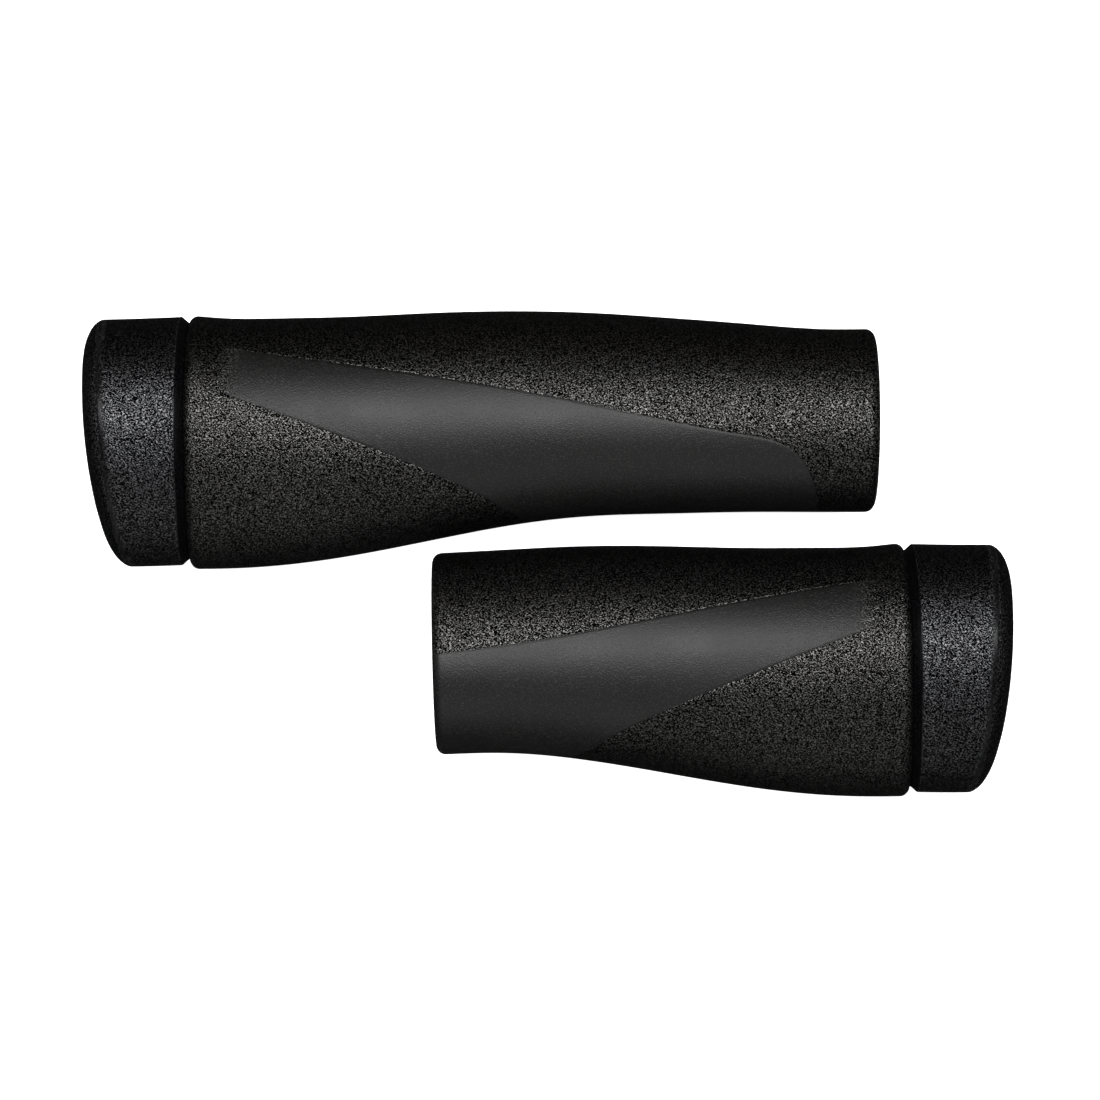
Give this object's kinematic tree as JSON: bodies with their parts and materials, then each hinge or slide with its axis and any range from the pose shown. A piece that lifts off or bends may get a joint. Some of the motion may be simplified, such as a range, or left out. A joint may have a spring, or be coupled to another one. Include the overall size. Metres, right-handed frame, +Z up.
{
  "type": "bicycle handlebar grips",
  "caption": "Pair of ergonomic bicycle grips, one long and one short, with palm wings, smooth palm panels, pull-off end caps and expander locks.",
  "frame": {"origin": "middle of the pair where it rests on the ground, under the centre of its bounding box", "axes": "+X along the long grip from its closed end to its open mouth, +Y to the front (finger) side of the grips, +Z up"},
  "size_m": [0.1526, 0.08, 0.0332],
  "materials": {
    "grip_rubber": "fine leather grain, matte",
    "smooth_rubber": "smooth, satin",
    "core_plastic": "plain moulded",
    "cap_plastic": "fine leather grain, slightly glossy",
    "ring_rubber": "smooth",
    "screw_steel": "zinc plated",
    "wedge_aluminium": "turned and milled",
    "jaw_aluminium": "milled"
  },
  "bodies": {
    "grips": {"long_grip_cover": "grip_rubber", "long_palm_panel": "smooth_rubber", "long_grip_core": "core_plastic", "long_cap_ring": "ring_rubber", "long_screw_washer": "screw_steel", "long_fixed_wedge": "wedge_aluminium", "long_jaw_band_outer": "ring_rubber", "long_jaw_band_inner": "ring_rubber", "short_grip_cover": "grip_rubber", "short_palm_panel": "smooth_rubber", "short_grip_core": "core_plastic", "short_cap_ring": "ring_rubber", "short_screw_washer": "screw_steel", "short_fixed_wedge": "wedge_aluminium", "short_jaw_band_outer": "ring_rubber", "short_jaw_band_inner": "ring_rubber"},
    "long_end_cap_body": {"long_end_cap": "cap_plastic"},
    "long_lock_screw_body": {"long_lock_screw": "screw_steel"},
    "long_wedge_nut_body": {"long_wedge_nut": "wedge_aluminium"},
    "long_jaw_top_body": {"long_jaw_top": "jaw_aluminium"},
    "long_jaw_front_body": {"long_jaw_front": "jaw_aluminium"},
    "long_jaw_rear_body": {"long_jaw_rear": "jaw_aluminium"},
    "short_end_cap_body": {"short_end_cap": "cap_plastic"},
    "short_lock_screw_body": {"short_lock_screw": "screw_steel"},
    "short_wedge_nut_body": {"short_wedge_nut": "wedge_aluminium"},
    "short_jaw_top_body": {"short_jaw_top": "jaw_aluminium"},
    "short_jaw_front_body": {"short_jaw_front": "jaw_aluminium"},
    "short_jaw_rear_body": {"short_jaw_rear": "jaw_aluminium"}
  },
  "joints": [
    {"name": "long_cap_pull", "type": "slide", "parent": "grips", "child": "long_end_cap_body", "axis": [-1, 0, 0], "range_m": [0, 0.028]},
    {"name": "long_screw_turn", "type": "hinge", "parent": "grips", "child": "long_lock_screw_body", "pos_m": [-0.06426, 0.02197, 0.01662], "axis": [1, 0, 0], "range_deg": [0, 1800]},
    {"name": "long_nut_draw", "type": "slide", "parent": "grips", "child": "long_wedge_nut_body", "axis": [-1, 0, 0], "range_m": [0, 0.005]},
    {"name": "long_jaw_top_spread", "type": "slide", "parent": "grips", "child": "long_jaw_top_body", "axis": [-0.9063, 0, 0.4226], "range_m": [0, 0.00276], "deforming": ["long_jaw_band_outer", "long_jaw_band_inner"]},
    {"name": "long_jaw_front_spread", "type": "slide", "parent": "grips", "child": "long_jaw_front_body", "axis": [-0.9063, 0.366, -0.2113], "range_m": [0, 0.00276]},
    {"name": "long_jaw_rear_spread", "type": "slide", "parent": "grips", "child": "long_jaw_rear_body", "axis": [-0.9063, -0.366, -0.2113], "range_m": [0, 0.00276]},
    {"name": "short_cap_pull", "type": "slide", "parent": "grips", "child": "short_end_cap_body", "axis": [0.9997, 0.0244, 0], "range_m": [0, 0.028]},
    {"name": "short_screw_turn", "type": "hinge", "parent": "grips", "child": "short_lock_screw_body", "pos_m": [0.06433, -0.0153, 0.01662], "axis": [-0.9997, -0.0244, 0], "range_deg": [0, 1800]},
    {"name": "short_nut_draw", "type": "slide", "parent": "grips", "child": "short_wedge_nut_body", "axis": [0.9997, 0.0244, 0], "range_m": [0, 0.005]},
    {"name": "short_jaw_top_spread", "type": "slide", "parent": "grips", "child": "short_jaw_top_body", "axis": [0.906, 0.0221, 0.4226], "range_m": [0, 0.00276], "deforming": ["short_jaw_band_outer", "short_jaw_band_inner"]},
    {"name": "short_jaw_front_spread", "type": "slide", "parent": "grips", "child": "short_jaw_front_body", "axis": [0.8971, 0.388, -0.2113], "range_m": [0, 0.00276]},
    {"name": "short_jaw_rear_spread", "type": "slide", "parent": "grips", "child": "short_jaw_rear_body", "axis": [0.915, -0.3437, -0.2113], "range_m": [0, 0.00276]}
  ],
  "couplings": [
    {"joint": "long_nut_draw", "follows": "long_screw_turn", "m_per_rad": 0.00015915},
    {"joint": "long_jaw_top_spread", "follows": "long_screw_turn", "m_per_rad": 0.000087804},
    {"joint": "long_jaw_front_spread", "follows": "long_screw_turn", "m_per_rad": 0.000087804},
    {"joint": "long_jaw_rear_spread", "follows": "long_screw_turn", "m_per_rad": 0.000087804},
    {"joint": "short_nut_draw", "follows": "short_screw_turn", "m_per_rad": 0.00015915},
    {"joint": "short_jaw_top_spread", "follows": "short_screw_turn", "m_per_rad": 0.000087804},
    {"joint": "short_jaw_front_spread", "follows": "short_screw_turn", "m_per_rad": 0.000087804},
    {"joint": "short_jaw_rear_spread", "follows": "short_screw_turn", "m_per_rad": 0.000087804}
  ]
}
